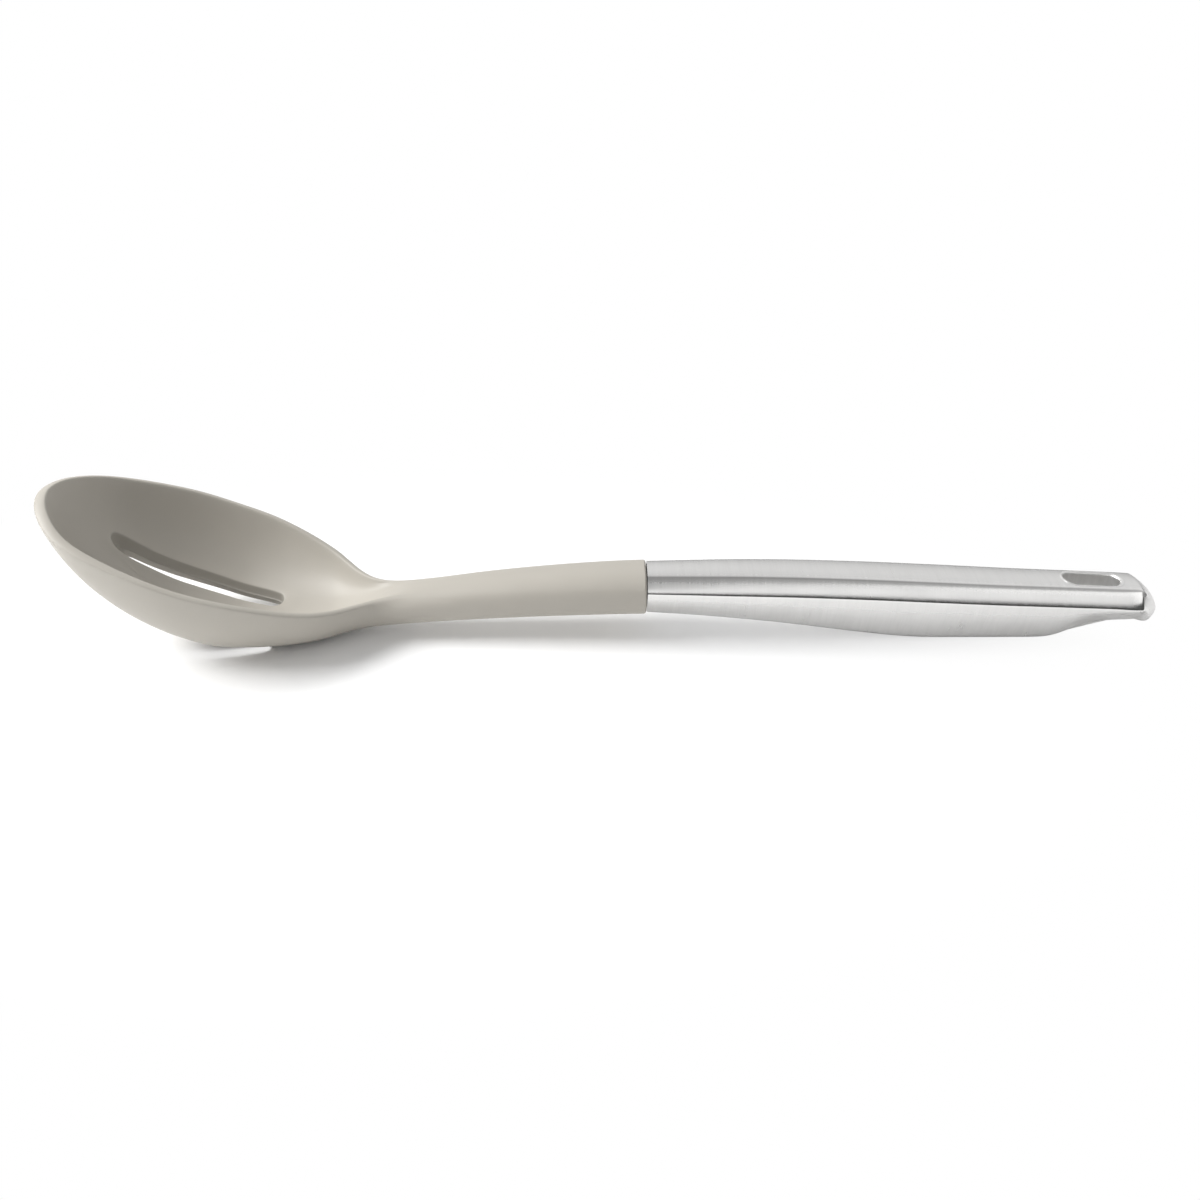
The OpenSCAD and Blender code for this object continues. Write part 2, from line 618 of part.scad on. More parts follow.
// The same grid, carried on past the middle line as its mirror image
function lower_beyond(c, r) =
    c > seam_last ? mirrored(lower_beyond(2 * seam_last - c, r))
    : r > lower_cells ? mirrored(lower_outside[c][2 * lower_cells - r])
    : lower_outside[c][r];
function lower_way(c, r) =
    let (
        a = lower_beyond(c + 1, r) - lower_beyond(max(c - 1, 0), r),
        b = lower_beyond(c, r + 1) - lower_beyond(c, r - 1),
        n = cross(a, b)
    )
    c == 0 ? unit([0, n[1], n[2]]) : unit(n);
lower_inside = [for (c = [0:seam_last]) [for (r = [0:lower_cells])
    let (p = r == 0 ? seam_inner[c] : lower_outside[c][r] - sheet * lower_way(c, r))
    r == lower_cells || c == seam_last ? on_middle(p) : p]];

// Points and faces of the lower shell: both sides, outside and inside, share the middle line and the end
function lower_index(side, layer, c, r) = ((side * 2 + layer) * (seam_last + 1) + c) * (lower_cells + 1) + r;
lower_points = [for (side = [0, 1]) for (grid = [lower_outside, lower_inside]) for (row = grid) for (p = row)
    side == 0 ? p : mirrored(p)];
lower_faces = concat(
    [for (side = [0, 1]) for (c = [0:seam_last - 1]) for (r = [0:lower_cells - 1])
        turned(1 - side, [lower_index(side, 0, c, r), lower_index(side, 0, c + 1, r),
            lower_index(side, 0, c + 1, r + 1), lower_index(side, 0, c, r + 1)])],
    [for (side = [0, 1]) for (c = [0:seam_last - 1]) for (r = [0:lower_cells - 1])
        turned(side, [lower_index(side, 1, c, r), lower_index(side, 1, c + 1, r),
            lower_index(side, 1, c + 1, r + 1), lower_index(side, 1, c, r + 1)])],
    [for (side = [0, 1]) for (c = [0:seam_last - 1])
        for (face = seam_strip(side, lower_index(side, 0, c, 0), lower_index(side, 0, c + 1, 0),
            lower_index(side, 1, c, 0), lower_index(side, 1, c + 1, 0))) face],
    [for (side = [0, 1]) for (r = [0:lower_cells - 1])
        turned(1 - side, [lower_index(side, 0, 0, r), lower_index(side, 0, 0, r + 1),
            lower_index(side, 1, 0, r + 1), lower_index(side, 1, 0, r)])]
);

// Hang hole and its sleeve
hole_middle = handle_length - hole_inset;
sleeve_length = hole_length + 2 * sleeve_wall;
sleeve_width = hole_width + 2 * sleeve_wall;
sleeve_steps = 8;
sleeve_from = hole_middle - sleeve_length / 2 - cut_over;
sleeve_to = hole_middle + sleeve_length / 2 + cut_over;
sleeve_line = [for (i = [0:sleeve_steps]) mix(sleeve_from, sleeve_to, i / sleeve_steps)];
sleeve_cells = 5;
sleeve_across = [for (i = [-sleeve_cells:sleeve_cells]) sleeve_width * i / sleeve_cells];
sleeve_top = [for (x = sleeve_line) [for (y = sleeve_across)
    [x, y, top_edge(x) + top_crown * (1 - pow(y / top_half(x), 2)) + sleeve_proud]]];
sleeve_bottom = [for (x = sleeve_line) [for (y = sleeve_across) [x, y, underside(x)]]];
module long_hole(length, width)
{
    straight = length - width;
    translate([hole_middle, 0])
        union() {
            square([straight, width], center = true);
            translate([-straight / 2, 0]) circle(d = width, $fn = 48);
            translate([straight / 2, 0]) circle(d = width, $fn = 48);
        }
}
module through_handle(length, width)
{
    translate([0, 0, -cut_over])
        linear_extrude(height = handle_top + top_crown + 2 * cut_over)
            long_hole(length, width);
}
module at_joint() { translate([head_length - spoon_length / 2, 0, 0]) children(); }

// Socket: outline that fits inside both shells at the joint, seen along the spoon
socket_inset = sheet + fit_gap;
socket_edge = belly_radius - socket_inset;
socket_low = front_rise + belly_radius;
socket_outline = [
    [top_half(0) - socket_inset, top_edge(0) - socket_inset],
    [crease_half(0) - seam_width - fit_gap, crease_height(0)],
    [belly_flat / 2 + socket_edge * cos(edge_start_angle), socket_low + socket_edge * sin(edge_start_angle)],
    [belly_flat / 2, socket_low - socket_edge],
];
tang_corners = 48;
function tang_outline(gap) = [for (i = [0:tang_corners - 1])
    let (p = oval(0, tang_width / 2 + gap, tang_middle - tang_height / 2 - gap, tang_height + 2 * gap,
        tang_power, 360 * i / tang_corners))
    [cos(360 * i / tang_corners) < 0 ? -p[1] : p[1], p[2]]];

module spoon_head()
{
    color([0.73, 0.71, 0.67])
        translate([-spoon_length / 2, 0, 0])
            polyhedron(points = head_points, faces = head_faces, convexity = 8);
}

module tang_socket()
{
    right = socket_outline;
    left = [for (i = [len(right) - 1:-1:0]) [-right[i][0], right[i][1]]];
    color([0.2, 0.2, 0.21])
        at_joint()
            translate([fit_gap, 0, 0])
                rotate([90, 0, 90])
                    linear_extrude(height = socket_length)
                        difference() {
                            polygon(concat(right, left));
                            polygon(tang_outline(fit_gap));
                        }
}

module handle_upper_shell()
{
    color([0.80, 0.80, 0.79])
        at_joint()
            difference() {
                polyhedron(
                    points = concat(joined(upper_outside), joined(upper_inside)),
                    faces = sheet_faces(upper_last + 1, 2 * half_cells + 1),
                    convexity = 6
                );
                through_handle(sleeve_length + 2 * weld_gap, sleeve_width + 2 * weld_gap);
            }
}

module handle_lower_shell()
{
    color([0.74, 0.73, 0.71])
        at_joint()
            difference() {
                polyhedron(points = lower_points, faces = lower_faces, convexity = 6);
                through_handle(sleeve_length + 2 * weld_gap, sleeve_width + 2 * weld_gap);
            }
}

module hang_hole_sleeve()
{
    color([0.70, 0.70, 0.69])
        at_joint()
            intersection() {
                difference() {
                    through_handle(sleeve_length, sleeve_width);
                    translate([0, 0, -cut_over])
                        linear_extrude(height = handle_top + top_crown + 4 * cut_over)
                            long_hole(hole_length, hole_width);
                }
                polyhedron(
                    points = concat(joined(sleeve_top), joined(sleeve_bottom)),
                    faces = sheet_faces(sleeve_steps + 1, 2 * sleeve_cells + 1)
                );
            }
}

spoon_head();
tang_socket();
handle_upper_shell();
handle_lower_shell();
hang_hole_sleeve();
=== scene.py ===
import math

import bmesh
import bpy
from bpy.props import FloatProperty, FloatVectorProperty, IntProperty, PointerProperty
from bpy.types import Operator, Panel, PropertyGroup
from mathutils import Matrix, Vector
from mathutils.bvhtree import BVHTree


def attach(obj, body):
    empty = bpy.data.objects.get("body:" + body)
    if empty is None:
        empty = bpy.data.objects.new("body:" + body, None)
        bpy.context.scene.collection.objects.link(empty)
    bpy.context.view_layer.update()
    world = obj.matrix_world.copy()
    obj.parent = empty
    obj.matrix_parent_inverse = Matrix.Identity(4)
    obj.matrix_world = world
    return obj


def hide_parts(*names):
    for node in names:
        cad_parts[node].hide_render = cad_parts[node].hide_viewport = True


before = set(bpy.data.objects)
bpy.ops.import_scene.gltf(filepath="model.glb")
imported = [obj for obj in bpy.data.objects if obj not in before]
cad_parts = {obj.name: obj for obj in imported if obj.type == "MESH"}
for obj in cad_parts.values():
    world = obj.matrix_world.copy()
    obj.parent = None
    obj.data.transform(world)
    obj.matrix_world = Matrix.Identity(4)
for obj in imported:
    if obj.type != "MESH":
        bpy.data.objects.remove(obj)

bl_info = {
    "name": "Slotted Spoon",
    "version": (1, 0, 0),
    "blender": (4, 5, 0),
    "location": "3D View > Sidebar > Spoon",
    "description": "Dresses a slotted serving spoon with a nylon head and a hollow steel handle",
    "category": "Object",
}

MM = 0.001
UPPER_SHELL, LOWER_SHELL = 0, 1
SHELL_NODES = ("handle_upper_shell", "handle_lower_shell")

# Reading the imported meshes: points closer than the gap become one, places within the slack count as the
# same, and two triangles become a quad where they bend and skew by less than these angles
MERGE_GAP = 0.002 * MM
PLACE_SLACK = 0.05 * MM
PAIR_BEND = math.radians(60)
PAIR_SKEW = math.radians(120)

# A face stands upright, or leans a little, where its normal rises by less than these shares of its length,
# and lies level where it rises by more than the last
UPRIGHT_RISE = 0.1
LEANING_RISE = 0.4
LEVEL_RISE = 0.9

# The slots from above: the centre and radius of the arc that they follow, their width, where along the
# spoon their walls are looked for, and how far off the arc a wall may be, as a share of the width
SLOT_CENTRE_X = -130.7 * MM
SLOT_CENTRE_Y = -46.8 * MM
SLOT_RADIUS = 60.4 * MM
SLOT_WIDTH = 6 * MM
SLOT_FROM, SLOT_TO = -160 * MM, -107 * MM
SLOT_WALL_SHARE = 0.56

# Reach of the head's small roundings: on the parting line, on the slots' lower rims, and past the shoulder
# on each edge that bends by more than the angle
PARTING_REACH = 0.14 * MM
LOWER_RIM_REACH = 0.2 * MM
SHOULDER = 8 * MM
SHOULDER_REACH = 0.12 * MM
SHOULDER_BEND = math.radians(28)

# The handle as it was drawn: where it starts, where its end begins to roll down, and the sections between
HANDLE_START = 10.5 * MM
ROLL_START = 164.6 * MM
SECTION_COUNT = 40
SECTION_STEP = (ROLL_START - HANDLE_START) / SECTION_COUNT

# Bends of the handle: at the rims of its shells, at the creases beside the top face, the least one of the
# seam that is rounded on the end, and the one past which an edge is shaded sharp
RIM_BEND = math.radians(78)
FACET_BEND = math.radians(22)
SEAM_BEND = math.radians(30)
SHARP_BEND = math.radians(40)

# The side bands' roll: the shortest edge that is cut, in heights of the roll, the tuck halfway up, as a
# share of the whole tuck, and the length over which the tuck fades out before the end rolls down
SHORTEST_CUT = 1.2
HALFWAY_TUCK_SHARE = 0.27
BAND_FADE = 8 * MM

# The end of the handle is drawn round, and its sheet gets thinner there by this share over this length
THINNED_SHARE = 0.75
THINNED_OVER = 2 * MM

# The hang hole and its liner, and how far the liner's lip reaches over the shells
HOLE_MIDDLE = 150.8 * MM
HOLE_LENGTH = 17.6 * MM
HOLE_WIDTH = 7.3 * MM
HOLE_POINTS = 64
LINER_WALL = 0.8 * MM
LINER_GAP = 0.1 * MM
LIP_OVERLAP = 0.45 * MM

# Half the width of the lower shell's patch that is filled anew about the hole, the ends of the cutter for
# the hole, and how far above and below the table's height the search for the handle's skin starts
PATCH_HALF_WIDTH = 5.95 * MM
CUTTER_BOTTOM, CUTTER_TOP = -5 * MM, 30 * MM
SEARCH_START = 100 * MM

# Patterns: the two values that most of a noise lies between, the nylon's grain and the steel's brush marks
NOISE_LOW, NOISE_HIGH = 0.3, 0.7
GRAIN_SIZE = 0.35 * MM
BRUSH_SPACING = 0.45 * MM

# The two soft lamps, in metres
KEY_LAMP = {"width": 0.6, "height": 0.6, "place": (-0.86, -0.02, 0.75), "target": (-0.05, 0, 0)}
FRONT_LAMP = {"width": 1.7, "height": 0.45, "place": (0.38, -0.85, 0.82), "target": (0.05, 0, 0)}

# Greys of the room by how steeply a ray rises, from 0 where it is level to 1 where it is upright, on the
# camera's side and behind the spoon, and half the width over which the two are blended
BEFORE_GREYS = ((0.0, 0.05), (0.38, 0.09), (0.56, 0.36), (0.78, 0.50), (1.0, 0.32))
BEHIND_GREYS = ((0.0, 0.20), (0.14, 0.45), (0.34, 0.84), (0.66, 0.90), (1.0, 0.32))
ROOM_BLEND = 0.45

# The table, in metres, runs out into white around the bowl's shadow. Its places are squashed and moved, so
# that the shadow lies about the origin, and white grows from its least share at the core to 1 at the end
TABLE_HALF_WIDTH = 8.0
TABLE_GREY = 0.98
SHADOW_SQUASH = (0.6, 1.0, 1.0)
SHADOW_SHIFT = (0.036, 0.015, 0.0)
SHADOW_CORE, SHADOW_END = 0.03, 0.14
LEAST_WHITE = 0.04

# The width of the camera's sensor in millimetres, and the nearest distance in metres that it sees
SENSOR_WIDTH = 36
NEAREST_SEEN = 0.01


# Sizes and colours that a user would change

class HeadLook(PropertyGroup):
    """Looks of the nylon head"""

    slot_edge: FloatProperty(
        name="Slot Edge", description="Radius of the rounded edges of the slots",
        default=0.5 * MM, min=0.1 * MM, max=0.9 * MM, subtype="DISTANCE", unit="LENGTH")
    parting_depth: FloatProperty(
        name="Parting Line Depth", description="How far down a slot's wall the mould's parting line runs",
        default=0.62, min=0.3, max=0.8, subtype="FACTOR")
    parting_step: FloatProperty(
        name="Parting Step", description="How far a slot's wall steps in below the parting line",
        default=0.4 * MM, min=0.0, max=0.6 * MM, subtype="DISTANCE", unit="LENGTH")
    draft: FloatProperty(
        name="Slot Draft", description="How far a slot's wall has come in at its foot",
        default=0.85 * MM, min=0.0, max=1.0 * MM, subtype="DISTANCE", unit="LENGTH")
    colour: FloatVectorProperty(
        name="Nylon", description="Colour of the moulded nylon",
        default=(0.45, 0.425, 0.379), min=0, max=1, subtype="COLOR")
    grain: FloatProperty(
        name="Grain Size", description="Size of the grains of the moulded surface",
        default=GRAIN_SIZE, min=0.1 * MM, max=1 * MM, subtype="DISTANCE", unit="LENGTH")
    smoothing: IntProperty(
        name="Smoothing", description="Subdivision levels of the head", default=2, min=1, max=3)


class HandleLook(PropertyGroup):
    """Looks of the steel handle"""

    lower_crease: FloatProperty(
        name="Lower Crease", description="Reach of the rounding along the seam of the two shells",
        default=0.35 * MM, min=0.1 * MM, max=1.2 * MM, subtype="DISTANCE", unit="LENGTH")
    band_roll: FloatProperty(
        name="Band Roll", description="Height above the seam at which the side band starts to roll in",
        default=1.4 * MM, min=0.6 * MM, max=2.0 * MM, subtype="DISTANCE", unit="LENGTH")
    band_tuck: FloatProperty(
        name="Band Tuck", description="How far the side band has rolled in at the seam",
        default=0.32 * MM, min=0.0, max=0.5 * MM, subtype="DISTANCE", unit="LENGTH")
    upper_crease: FloatProperty(
        name="Upper Crease", description="Reach of the rounding beside the top face",
        default=0.45 * MM, min=0.1 * MM, max=1 * MM, subtype="DISTANCE", unit="LENGTH")
    wall: FloatProperty(
        name="Sheet", description="Thickness of the steel sheet",
        default=0.8 * MM, min=0.4 * MM, max=1 * MM, subtype="DISTANCE", unit="LENGTH")
    lip: FloatProperty(
        name="Rolled Lip", description="How far the rolled lip of the hang hole stands out of the handle",
        default=0.14 * MM, min=0.02 * MM, max=0.3 * MM, subtype="DISTANCE", unit="LENGTH")
    colour: FloatVectorProperty(
        name="Steel", description="Colour of the satin steel",
        default=(0.77, 0.765, 0.755), min=0, max=1, subtype="COLOR")
    brush: FloatProperty(
        name="Brush Marks", description="Distance between the brush marks across the handle",
        default=BRUSH_SPACING, min=0.1 * MM, max=2 * MM, subtype="DISTANCE", unit="LENGTH")
    smoothing: IntProperty(
        name="Smoothing", description="Subdivision levels of the handle", default=2, min=1, max=3)


class StageLook(PropertyGroup):
    """Table, camera and light"""

    tilt: FloatProperty(
        name="Camera Tilt", description="How far the camera looks down",
        default=math.radians(31), min=0, max=math.pi / 2, subtype="ANGLE", unit="ROTATION")
    eye: FloatVectorProperty(
        name="Camera Place", description="Where the camera stands",
        default=(-4.24 * MM, -295.3 * MM, 188.8 * MM), subtype="TRANSLATION", unit="LENGTH")
    lens: FloatProperty(
        name="Lens", description="Focal length in millimetres",
        default=32.4, min=10, max=200, unit="CAMERA")
    key_power: FloatProperty(
        name="Key Light", description="Power of the large lamp at the left in watts",
        default=14.0, min=0, unit="POWER")
    front_power: FloatProperty(
        name="Front Light", description="Power of the soft box above the camera in watts",
        default=2.0, min=0, unit="POWER")
    sky: FloatProperty(
        name="Room Light", description="Strength of the light from the room",
        default=1.0, min=0)


# Meshes and objects

def quads_of(node):
    """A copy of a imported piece's mesh with its doubles merged and its triangles paired into quads"""
    mesh = bmesh.new()
    mesh.from_mesh(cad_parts[node].data)
    bmesh.ops.remove_doubles(mesh, verts=mesh.verts, dist=MERGE_GAP)
    bmesh.ops.join_triangles(
        mesh, faces=mesh.faces, angle_face_threshold=PAIR_BEND,
        angle_shape_threshold=PAIR_SKEW, topology_influence=1)
    return mesh


def reached(start, bend, barred):
    """The faces reached from one face over edges that bend less than an angle, without the barred ones"""
    found, open_faces = {start}, [start]
    while open_faces:
        for edge in open_faces.pop().edges:
            if len(edge.link_faces) != 2 or edge.calc_face_angle() >= bend:
                continue
            for face in edge.link_faces:
                if face not in found and not barred(face):
                    found.add(face)
                    open_faces.append(face)
    return found


def bent_edges(edges, bend):
    """Those among some edges that have two faces and bend by more than an angle"""
    return [e for e in edges if len(e.link_faces) == 2 and e.calc_face_angle() > bend]


def points_of(edges):
    """The points that some edges join"""
    return {v for e in edges for v in e.verts}


def bevelled(mesh, edges, reach, segments):
    """Rounds edges and gives back what the bevel made"""
    return bmesh.ops.bevel(
        mesh, geom=edges, offset=reach, offset_type="OFFSET", segments=segments, profile=0.5,
        affect="EDGES", clamp_overlap=True, loop_slide=True, material=-1)


def mark_layer(mesh, label):
    """The values on a mesh's points that a material reads under a label, 0 at first"""
    return mesh.verts.layers.float.get(label) or mesh.verts.layers.float.new(label)


def mark_faces(mesh, label, faces):
    """Writes 1 on the points of some faces, under a label that a material reads"""
    layer = mark_layer(mesh, label)
    for face in faces:
        for vert in face.verts:
            vert[layer] = 1.0


def as_object(name, mesh):
    """A new smooth object in the scene from a bmesh, which is freed"""
    data = bpy.data.meshes.new(name)
    for face in mesh.faces:
        face.smooth = True
    mesh.to_mesh(data)
    mesh.free()
    piece = bpy.data.objects.new(name, data)
    bpy.context.scene.collection.objects.link(piece)
    return piece


def subdivide(piece, levels):
    """Gives a piece a Subdivision Surface modifier"""
    smooth = piece.modifiers.new("Smooth form", "SUBSURF")
    smooth.levels = smooth.render_levels = levels
    smooth.use_limit_surface = False


def settle(piece):
    """Applies the modifiers of a piece to its mesh"""
    bpy.context.view_layer.update()
    shown = piece.evaluated_get(bpy.context.evaluated_depsgraph_get())
    data = bpy.data.meshes.new_from_object(shown)
    data.name = piece.name
    piece.modifiers.clear()
    piece.data = data


def remove(piece):
    """Takes a helper object out of the file"""
    data = piece.data
    bpy.data.objects.remove(piece)
    bpy.data.meshes.remove(data)


def dress(piece, node, material):
    """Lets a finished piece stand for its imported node, with its material"""
    piece.data.materials.clear()
    piece.data.materials.append(material)
    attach(piece, "root")
    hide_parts(node)


# Nodes

def add(tree, kind, **values):
    """A new node with its settings and the values of its inputs"""
    node = tree.nodes.new(kind)
    for key, value in values.items():
        if key in node.inputs:
            node.inputs[key].default_value = value
        else:
            setattr(node, key, value)
    return node


def feed(tree, value, socket):
    """Links a socket to an input, or sets the input to a number"""
    if isinstance(value, bpy.types.NodeSocket):
        tree.links.new(value, socket)
    else:
        socket.default_value = value


def maths(tree, operation, *values):
    """The result of a Math node on sockets or numbers"""
    node = add(tree, "ShaderNodeMath", operation=operation)
    for value, socket in zip(values, node.inputs):
        feed(tree, value, socket)
    return node.outputs["Value"]


def noise(tree, vector, scale, detail, roughness=0.5):
    """A noise pattern on a vector, with as many patches in a metre as its scale says"""
    node = add(tree, "ShaderNodeTexNoise", Detail=detail, Roughness=roughness)
    tree.links.new(vector, node.inputs["Vector"])
    feed(tree, scale, node.inputs["Scale"])
    return node.outputs["Fac"]


def squashed(tree, vector, factors, shift=(0, 0, 0)):
    """A vector multiplied part by part, and moved"""
    node = add(tree, "ShaderNodeVectorMath", operation="MULTIPLY_ADD")
    for value, socket in zip((vector, factors, shift), node.inputs):
        feed(tree, value, socket)
    return node.outputs["Vector"]


def spread(tree, value, low=0.0, high=1.0):
    """A noise value laid out between two numbers"""
    node = add(tree, "ShaderNodeMapRange",
               **{"From Min": NOISE_LOW, "From Max": NOISE_HIGH, "To Min": low, "To Max": high})
    tree.links.new(value, node.inputs["Value"])
    return node.outputs["Result"]


def eased(tree, value, start, end, least=0.0):
    """A value that rises softly from its least to 1, between two numbers"""
    node = add(tree, "ShaderNodeMapRange", interpolation_type="SMOOTHSTEP",
               **{"From Min": start, "From Max": end, "To Min": least})
    tree.links.new(value, node.inputs["Value"])
    return node.outputs["Result"]


def tinted(tree, factor, plain, varied):
    """A colour between two colours, each a socket or three numbers, by a mask"""
    node = add(tree, "ShaderNodeMix", data_type="RGBA")
    tree.links.new(factor, node.inputs["Factor"])
    sockets = [s for s in node.inputs if s.type == "RGBA"]
    for value, socket in zip((plain, varied), sockets):
        feed(tree, value if isinstance(value, bpy.types.NodeSocket) else (*value, 1.0), socket)
    return next(s for s in node.outputs if s.type == "RGBA")


def shade(colour, factor):
    """A colour made lighter or darker, within 0 to 1"""
    return tuple(min(max(c * factor, 0.0), 1.0) for c in colour)


def bump(tree, shader, height, distance, strength):
    """Turns a height into the surface's normal"""
    node = add(tree, "ShaderNodeBump", Distance=distance, Strength=strength)
    tree.links.new(height, node.inputs["Height"])
    tree.links.new(node.outputs["Normal"], shader.inputs["Normal"])


def blended(tree, factor, first, second):
    """One shader where a factor is 0 and another where it is 1"""
    node = add(tree, "ShaderNodeMixShader")
    for value, socket in zip((factor, first, second), node.inputs):
        tree.links.new(value, socket)
    return node.outputs["Shader"]


# Effects that the materials share

def new_group(name, inputs, outputs):
    """A new shader node group on a vector, with named numbers in and out, and its sockets inside"""
    group = bpy.data.node_groups.new(name, "ShaderNodeTree")
    group.interface.new_socket(name="Vector", in_out="INPUT", socket_type="NodeSocketVector")
    for label, value in inputs.items():
        socket = group.interface.new_socket(name=label, in_out="INPUT", socket_type="NodeSocketFloat")
        socket.default_value = value
    for label in outputs:
        group.interface.new_socket(name=label, in_out="OUTPUT", socket_type="NodeSocketFloat")
    return group, add(group, "NodeGroupInput").outputs, add(group, "NodeGroupOutput").inputs


def moulded_grain():
    """Group: fine grain and soft cloudiness of a moulded surface"""
    name = "Moulded grain"
    if name in bpy.data.node_groups:
        return bpy.data.node_groups[name]
    group, given, result = new_group(name, {"Grain Size": GRAIN_SIZE}, ("Height", "Cloud"))
    scale = maths(group, "DIVIDE", 1.0, given["Grain Size"])
    fine = noise(group, given["Vector"], scale, detail=2.0, roughness=0.6)
    ripple = noise(group, given["Vector"], scale=140.0, detail=2.0)
    ripple_share = 0.6
    group.links.new(maths(group, "MULTIPLY_ADD", ripple, ripple_share, fine), result["Height"])
    group.links.new(noise(group, given["Vector"], scale=45.0, detail=3.0), result["Cloud"])
    return group


def brush_marks():
    """Group: brush marks that run across the handle, fine and broad, and the mottle of handling"""
    name = "Brush marks"
    if name in bpy.data.node_groups:
        return bpy.data.node_groups[name]
    group, given, result = new_group(name, {"Spacing": BRUSH_SPACING}, ("Lines", "Mottle"))
    fine_squash, broad_squash, broad_density, weight = 0.05, 0.12, 0.28, 0.5
    scale = maths(group, "DIVIDE", 1.0, given["Spacing"])
    broad_scale = maths(group, "MULTIPLY", scale, broad_density)
    fine_places = squashed(group, given["Vector"], (1.0, fine_squash, fine_squash))
    broad_places = squashed(group, given["Vector"], (1.0, broad_squash, broad_squash))
    fine = noise(group, fine_places, scale, detail=3.0, roughness=0.65)
    broad = noise(group, broad_places, broad_scale, detail=2.0)
    half_of_fine = maths(group, "MULTIPLY", fine, weight)
    group.links.new(maths(group, "MULTIPLY_ADD", broad, weight, half_of_fine), result["Lines"])
    mottle = noise(group, given["Vector"], scale=90.0, detail=4.0, roughness=0.6)
    group.links.new(mottle, result["Mottle"])
    return group


def worn_edges():
    """Group: where edges are rubbed, from the piece's own edge attribute, broken up by noise"""
    name = "Worn edges"
    if name in bpy.data.node_groups:
        return bpy.data.node_groups[name]
    group, given, result = new_group(name, {"Edge": 0.0}, ("Wear",))
    broken = noise(group, given["Vector"], scale=260.0, detail=3.0, roughness=0.6)
    patches = spread(group, broken, low=0.35)
    group.links.new(maths(group, "MULTIPLY", given["Edge"], patches), result["Wear"])
    return group


# Materials

def new_material(name):
    """An empty node material with its shader, its output and its Object coordinates"""
    material = bpy.data.materials.new(name)
    material.use_nodes = True
    tree = material.node_tree
    tree.nodes.clear()
    shader = add(tree, "ShaderNodeBsdfPrincipled")
    output = add(tree, "ShaderNodeOutputMaterial")
    place = add(tree, "ShaderNodeTexCoord").outputs["Object"]
    tree.links.new(shader.outputs["BSDF"], output.inputs["Surface"])
    return material, tree, shader, output, place


def placed(tree, group, vector):
    """A group node in a material, fed with its coordinates"""
    node = add(tree, "ShaderNodeGroup", node_tree=group)
    tree.links.new(vector, node.inputs["Vector"])
    return node


def edge_and_wear(tree, place):
    """The masks of a piece's edges, whole and as they are rubbed"""
    edge = add(tree, "ShaderNodeAttribute", attribute_name="edge").outputs["Fac"]
    wear = placed(tree, worn_edges(), place)
    tree.links.new(edge, wear.inputs["Edge"])
    return edge, wear.outputs["Wear"]


def nylon(look, name="Nylon", tone=1.0):
    """Matt moulded nylon: fine grain, a little cloudiness, edges lighter as rubbed wear and a painted
    highlight, and painted shade on the slots' walls
    """
    material, tree, shader, _, place = new_material(name)
    colour = shade(look.colour, tone)
    # The last two shades: edges lighter, partly as wear and partly as a painted highlight, and the slots'
    # walls darker as painted shade
    dark, light, rubbed, walls = (shade(colour, factor) for factor in (0.975, 1.02, 1.14, 0.74))
    wear_share = 0.35
    grain = placed(tree, moulded_grain(), place)
    grain.inputs["Grain Size"].default_value = look.grain
    body = tinted(tree, spread(tree, grain.outputs["Cloud"]), dark, light)
    _, wear = edge_and_wear(tree, place)
    # Lighter edges: partly rubbed wear, and partly a painted highlight on the slots' rounded rims
    open_face = tinted(tree, maths(tree, "MULTIPLY", wear, wear_share), body, rubbed)
    # Painted shade: the slots' walls are darkened where less light reaches them
    recess = add(tree, "ShaderNodeAttribute", attribute_name="recess").outputs["Fac"]
    tree.links.new(tinted(tree, recess, open_face, walls), shader.inputs["Base Color"])
    roughness = spread(tree, grain.outputs["Cloud"], low=0.44, high=0.52)
    tree.links.new(roughness, shader.inputs["Roughness"])
    shader.inputs["Specular IOR Level"].default_value = 0.4
    bump(tree, shader, grain.outputs["Height"], distance=0.02 * MM, strength=0.3)
    return material


def satin_steel(look, name, tone=1.0, roughness=0.3):
    """Satin stainless steel, brushed across the handle, and smoother along its rubbed edges"""
    material, tree, shader, _, place = new_material(name)
    colour = shade(look.colour, tone)
    dark, light, rubbed = (shade(colour, factor) for factor in (0.95, 1.04, 1.1))
    wear_share, edge_smoothness = 0.3, 0.6
    marks = placed(tree, brush_marks(), place)
    marks.inputs["Spacing"].default_value = look.brush
    lines = marks.outputs["Lines"]
    brushed = tinted(tree, spread(tree, lines), dark, light)
    edge, wear = edge_and_wear(tree, place)
    worn = maths(tree, "MULTIPLY", wear, wear_share)
    tree.links.new(tinted(tree, worn, brushed, rubbed), shader.inputs["Base Color"])
    by_lines = spread(tree, lines, low=-0.03, high=0.04)
    by_handling = spread(tree, marks.outputs["Mottle"], low=roughness - 0.02, high=roughness + 0.03)
    smoothing = maths(tree, "MULTIPLY_ADD", edge, -edge_smoothness, 1.0)
    rough = maths(tree, "MULTIPLY", maths(tree, "ADD", by_lines, by_handling), smoothing)
    tree.links.new(rough, shader.inputs["Roughness"])
    shader.inputs["Metallic"].default_value = 1.0
    bump(tree, shader, lines, distance=0.03 * MM, strength=0.35)
    return material


# Nylon head

def on_slot_wall(face, rise=UPRIGHT_RISE):
    """Whether a face is a slot's wall: along the slots only their walls stand about upright"""
    middle = face.calc_center_median()
    from_centre = math.hypot(middle.x - SLOT_CENTRE_X, abs(middle.y) - SLOT_CENTRE_Y)
    near_arc = abs(from_centre - SLOT_RADIUS) < SLOT_WALL_SHARE * SLOT_WIDTH
    return SLOT_FROM < middle.x < SLOT_TO and near_arc and abs(face.normal.z) < rise


